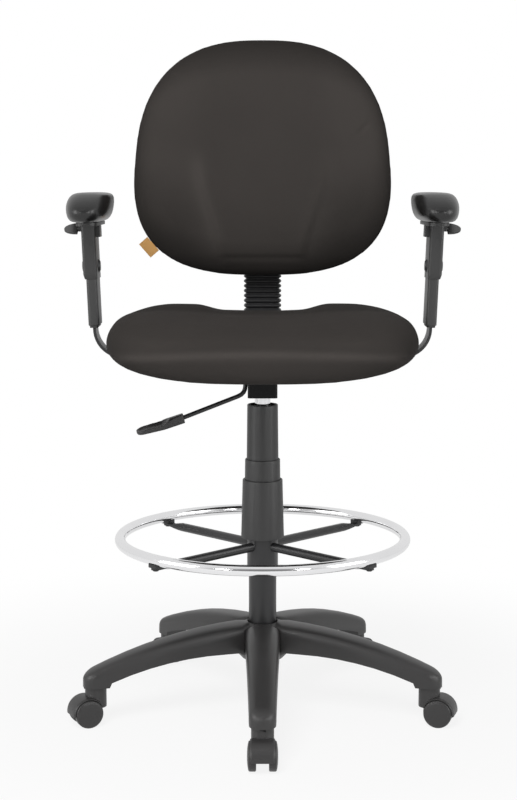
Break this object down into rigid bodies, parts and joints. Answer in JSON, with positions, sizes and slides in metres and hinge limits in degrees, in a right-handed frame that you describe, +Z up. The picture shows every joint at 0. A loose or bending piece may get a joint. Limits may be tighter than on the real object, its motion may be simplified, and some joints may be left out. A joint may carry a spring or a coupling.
{
  "type": "drafting chair",
  "caption": "Tall swivel drafting chair with a gas lift in a telescopic cover, foot ring, star base on twin-wheel casters, adjustable arms and a contoured back",
  "frame": {"origin": "on the floor, under the axis of the column", "axes": "+Z up, the sitter faces -Y, +X is to the right when one stands in front of the chair and looks at it; left and right in names are as seen from there"},
  "size_m": [0.7002, 0.6611, 1.218],
  "materials": {
    "nylon": "black glass-filled nylon, fine matt grain with a soft sheen",
    "cover": "black moulded polypropylene, satin",
    "caster": "black nylon, satin",
    "shell": "black moulded polypropylene, fine texture",
    "grip": "black moulded plastic, satin",
    "chrome": "polished chrome plate",
    "black_steel": "black powder coat, satin",
    "steel": "plain ground steel",
    "bush": "natural acetal",
    "fabric": "charcoal woven upholstery over foam",
    "pad": "black self-skinned soft polyurethane",
    "bellows": "black flexible moulding, matt",
    "wood": "bare plywood",
    "tag": "blank tan cloth"
  },
  "bodies": {
    "base": {"star_base": "nylon", "column_tube": "black_steel", "base_clip": "steel", "thrust_bearing": "steel", "piston_rod": "steel", "guide_bush": "bush", "cover_lower": "cover"},
    "cover_stage": {"cover_middle": "cover"},
    "lift": {"pressure_cylinder": "chrome", "cover_upper": "cover"},
    "pin": {"release_pin": "steel"},
    "ring": {"foot_ring": "chrome", "ring_spider": "black_steel", "ring_fixings": "black_steel"},
    "ring_knob": {"ring_clamp_knob": "grip"},
    "seat": {"seat_mechanism": "black_steel", "seat_board": "wood", "seat_cushion": "fabric", "seat_bolts": "steel", "left_arm_strap": "black_steel", "right_arm_strap": "black_steel", "left_arm_post": "shell", "right_arm_post": "shell"},
    "lever": {"lift_lever": "black_steel", "lever_grip": "grip"},
    "arm_left": {"left_arm_sleeve": "shell", "left_arm_pad": "pad"},
    "arm_right": {"right_arm_sleeve": "shell", "right_arm_pad": "pad"},
    "paddle_left": {"left_arm_paddle": "grip"},
    "paddle_right": {"right_arm_paddle": "grip"},
    "back_upright": {"back_bar": "black_steel", "back_bellows": "bellows"},
    "depth_screw": {"depth_knob": "grip"},
    "back": {"back_carrier": "shell", "back_shell": "shell", "back_board": "wood", "back_cushion": "fabric", "cloth_tag": "tag"},
    "height_screw": {"back_knob": "grip"},
    "caster_1": {"caster_1_hood": "caster", "caster_1_pins": "steel"},
    "caster_1_left_wheel_body": {"caster_1_left_wheel": "caster"},
    "caster_1_right_wheel_body": {"caster_1_right_wheel": "caster"},
    "caster_2": {"caster_2_hood": "caster", "caster_2_pins": "steel"},
    "caster_2_left_wheel_body": {"caster_2_left_wheel": "caster"},
    "caster_2_right_wheel_body": {"caster_2_right_wheel": "caster"},
    "caster_3": {"caster_3_hood": "caster", "caster_3_pins": "steel"},
    "caster_3_left_wheel_body": {"caster_3_left_wheel": "caster"},
    "caster_3_right_wheel_body": {"caster_3_right_wheel": "caster"},
    "caster_4": {"caster_4_hood": "caster", "caster_4_pins": "steel"},
    "caster_4_left_wheel_body": {"caster_4_left_wheel": "caster"},
    "caster_4_right_wheel_body": {"caster_4_right_wheel": "caster"},
    "caster_5": {"caster_5_hood": "caster", "caster_5_pins": "steel"},
    "caster_5_left_wheel_body": {"caster_5_left_wheel": "caster"},
    "caster_5_right_wheel_body": {"caster_5_right_wheel": "caster"}
  },
  "joints": [
    {"name": "lift_slide", "type": "slide", "parent": "base", "child": "lift", "axis": [0, 0, 1], "range_m": [-0.048, 0.08]},
    {"name": "cover_slide", "type": "slide", "parent": "base", "child": "cover_stage", "axis": [0, 0, 1], "range_m": [-0.025, 0.041]},
    {"name": "seat_swivel", "type": "hinge", "parent": "lift", "child": "seat", "pos_m": [0, 0, 0.6], "axis": [0, 0, 1], "continuous": true},
    {"name": "pin_slide", "type": "slide", "parent": "lift", "child": "pin", "axis": [0, 0, 1], "range_m": [-0.003, 0]},
    {"name": "lever_hinge", "type": "hinge", "parent": "seat", "child": "lever", "pos_m": [-0.019, 0, 0.633], "axis": [0, 1, 0], "range_deg": [0, 7], "stiffness_Nm_per_rad": 2, "springref_deg": -5.73},
    {"name": "ring_slide", "type": "slide", "parent": "base", "child": "ring", "axis": [0, 0, 1], "range_m": [-0.08, 0]},
    {"name": "ring_knob_turn", "type": "hinge", "parent": "ring", "child": "ring_knob", "pos_m": [0, 0.05, 0.28422], "axis": [0, 1, 0], "continuous": true},
    {"name": "arm_left_slide", "type": "slide", "parent": "seat", "child": "arm_left", "axis": [-0.0384, 0, 0.9993], "range_m": [-0.04, 0.025]},
    {"name": "arm_right_slide", "type": "slide", "parent": "seat", "child": "arm_right", "axis": [0.0384, 0, 0.9993], "range_m": [-0.04, 0.025]},
    {"name": "paddle_left_hinge", "type": "hinge", "parent": "arm_left", "child": "paddle_left", "pos_m": [-0.32105, 0, 0.87289], "axis": [0, 1, 0], "range_deg": [0, 8], "stiffness_Nm_per_rad": 0.5, "springref_deg": -5.73},
    {"name": "paddle_right_hinge", "type": "hinge", "parent": "arm_right", "child": "paddle_right", "pos_m": [0.32105, 0, 0.87289], "axis": [0, -1, 0], "range_deg": [0, 8], "stiffness_Nm_per_rad": 0.5, "springref_deg": -5.73},
    {"name": "back_depth_slide", "type": "slide", "parent": "seat", "child": "back_upright", "axis": [0, 1, 0], "range_m": [0, 0.05]},
    {"name": "depth_screw_turn", "type": "hinge", "parent": "seat", "child": "depth_screw", "pos_m": [0, 0.097, 0.57], "axis": [0, 0, 1], "continuous": true},
    {"name": "back_height_slide", "type": "slide", "parent": "back_upright", "child": "back", "axis": [0, 0, 1], "range_m": [-0.03, 0.035], "deforming": ["back_bellows"]},
    {"name": "height_screw_turn", "type": "hinge", "parent": "back", "child": "height_screw", "pos_m": [0, 0.27, 0.8616], "axis": [0, 1, 0], "continuous": true},
    {"name": "caster_1_swivel", "type": "hinge", "parent": "base", "child": "caster_1", "pos_m": [0, -0.311, 0.069], "axis": [0, 0, 1], "continuous": true},
    {"name": "caster_1_left_roll", "type": "hinge", "parent": "caster_1", "child": "caster_1_left_wheel_body", "pos_m": [0, -0.33, 0.025], "axis": [1, 0, 0], "continuous": true},
    {"name": "caster_1_right_roll", "type": "hinge", "parent": "caster_1", "child": "caster_1_right_wheel_body", "pos_m": [0, -0.33, 0.025], "axis": [1, 0, 0], "continuous": true},
    {"name": "caster_2_swivel", "type": "hinge", "parent": "base", "child": "caster_2", "pos_m": [0.29578, -0.0961, 0.069], "axis": [0, 0, 1], "continuous": true},
    {"name": "caster_2_left_roll", "type": "hinge", "parent": "caster_2", "child": "caster_2_left_wheel_body", "pos_m": [0.31385, -0.10198, 0.025], "axis": [0.309, 0.9511, 0], "continuous": true},
    {"name": "caster_2_right_roll", "type": "hinge", "parent": "caster_2", "child": "caster_2_right_wheel_body", "pos_m": [0.31385, -0.10198, 0.025], "axis": [0.309, 0.9511, 0], "continuous": true},
    {"name": "caster_3_swivel", "type": "hinge", "parent": "base", "child": "caster_3", "pos_m": [0.1828, 0.2516, 0.069], "axis": [0, 0, 1], "continuous": true},
    {"name": "caster_3_left_roll", "type": "hinge", "parent": "caster_3", "child": "caster_3_left_wheel_body", "pos_m": [0.19287, 0.26772, 0.025], "axis": [-0.848, 0.5299, 0], "continuous": true},
    {"name": "caster_3_right_roll", "type": "hinge", "parent": "caster_3", "child": "caster_3_right_wheel_body", "pos_m": [0.19287, 0.26772, 0.025], "axis": [-0.848, 0.5299, 0], "continuous": true},
    {"name": "caster_4_swivel", "type": "hinge", "parent": "base", "child": "caster_4", "pos_m": [-0.1828, 0.2516, 0.069], "axis": [0, 0, 1], "continuous": true},
    {"name": "caster_4_left_roll", "type": "hinge", "parent": "caster_4", "child": "caster_4_left_wheel_body", "pos_m": [-0.19172, 0.26838, 0.025], "axis": [-0.8829, -0.4695, 0], "continuous": true},
    {"name": "caster_4_right_roll", "type": "hinge", "parent": "caster_4", "child": "caster_4_right_wheel_body", "pos_m": [-0.19172, 0.26838, 0.025], "axis": [-0.8829, -0.4695, 0], "continuous": true},
    {"name": "caster_5_swivel", "type": "hinge", "parent": "base", "child": "caster_5", "pos_m": [-0.29578, -0.0961, 0.069], "axis": [0, 0, 1], "continuous": true},
    {"name": "caster_5_left_roll", "type": "hinge", "parent": "caster_5", "child": "caster_5_left_wheel_body", "pos_m": [-0.31286, -0.10443, 0.025], "axis": [0.4384, -0.8988, 0], "continuous": true},
    {"name": "caster_5_right_roll", "type": "hinge", "parent": "caster_5", "child": "caster_5_right_wheel_body", "pos_m": [-0.31286, -0.10443, 0.025], "axis": [0.4384, -0.8988, 0], "continuous": true}
  ],
  "couplings": [
    {"joint": "cover_slide", "follows": "lift_slide", "ratio": 0.5},
    {"joint": "pin_slide", "follows": "lever_hinge", "m_per_rad": -0.019}
  ]
}
